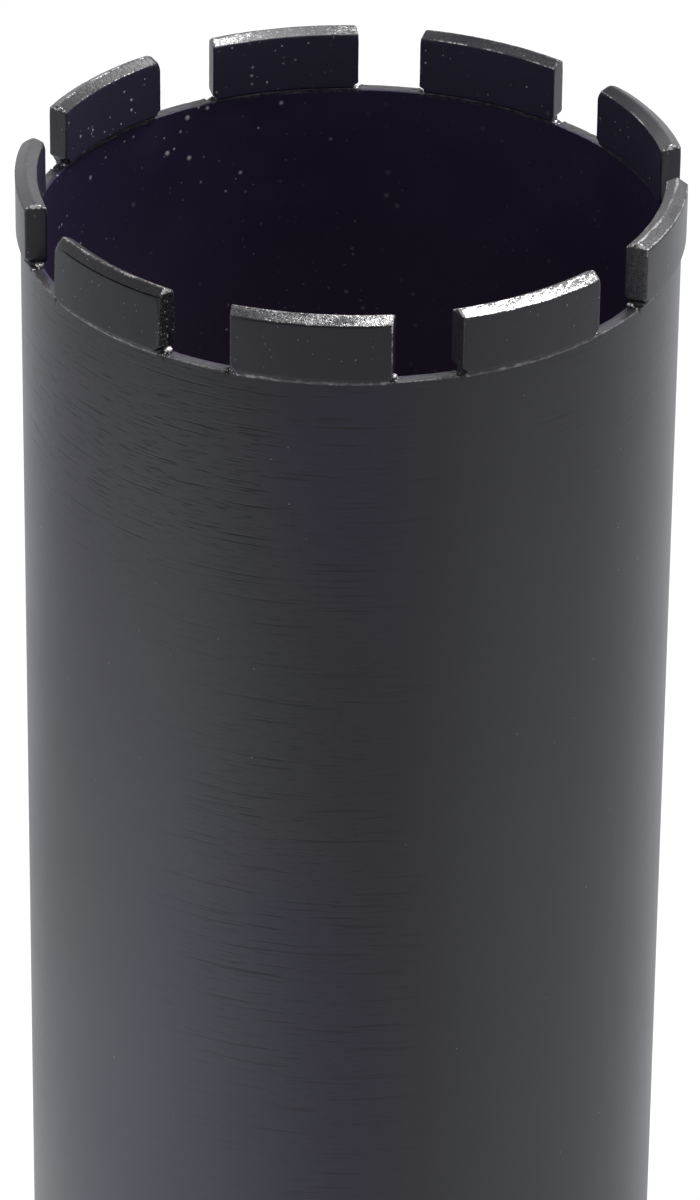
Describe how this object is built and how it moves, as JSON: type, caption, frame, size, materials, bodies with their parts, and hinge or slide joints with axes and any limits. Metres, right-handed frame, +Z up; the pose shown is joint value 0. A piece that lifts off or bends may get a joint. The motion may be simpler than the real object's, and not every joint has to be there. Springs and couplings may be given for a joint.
{
  "type": "diamond core bit",
  "caption": "Thin-walled black steel core bit with welded roof-top diamond segments round its rim and a threaded hub.",
  "frame": {"origin": "middle of the hub's flat face, which the bit stands on", "axes": "+Z up along the barrel's axis, from the hub towards the segments; segment 1 faces -Y and the others follow counterclockwise as seen from above"},
  "size_m": [0.102, 0.1016, 0.36],
  "materials": {
    "barrel_paint": "satin black paint over drawn steel",
    "segment_paint": "satin black paint over sintered metal, worn bright along the ridge",
    "laser_weld": "thinly painted weld metal",
    "plate_paint": "satin black paint over turned steel",
    "weld_paint": "satin black paint over a rippled bead",
    "hub_steel": "turned steel, oiled"
  },
  "bodies": {
    "root": {"barrel_tube": "barrel_paint", "segment_1": "segment_paint", "segment_2": "segment_paint", "segment_3": "segment_paint", "segment_4": "segment_paint", "segment_5": "segment_paint", "segment_6": "segment_paint", "segment_7": "segment_paint", "segment_8": "segment_paint", "segment_9": "segment_paint", "weld_seam_1": "laser_weld", "weld_seam_2": "laser_weld", "weld_seam_3": "laser_weld", "weld_seam_4": "laser_weld", "weld_seam_5": "laser_weld", "weld_seam_6": "laser_weld", "weld_seam_7": "laser_weld", "weld_seam_8": "laser_weld", "weld_seam_9": "laser_weld", "back_plate": "plate_paint", "ring_weld": "weld_paint", "threaded_hub": "hub_steel", "hub_weld": "weld_paint"}
  },
  "joints": []
}
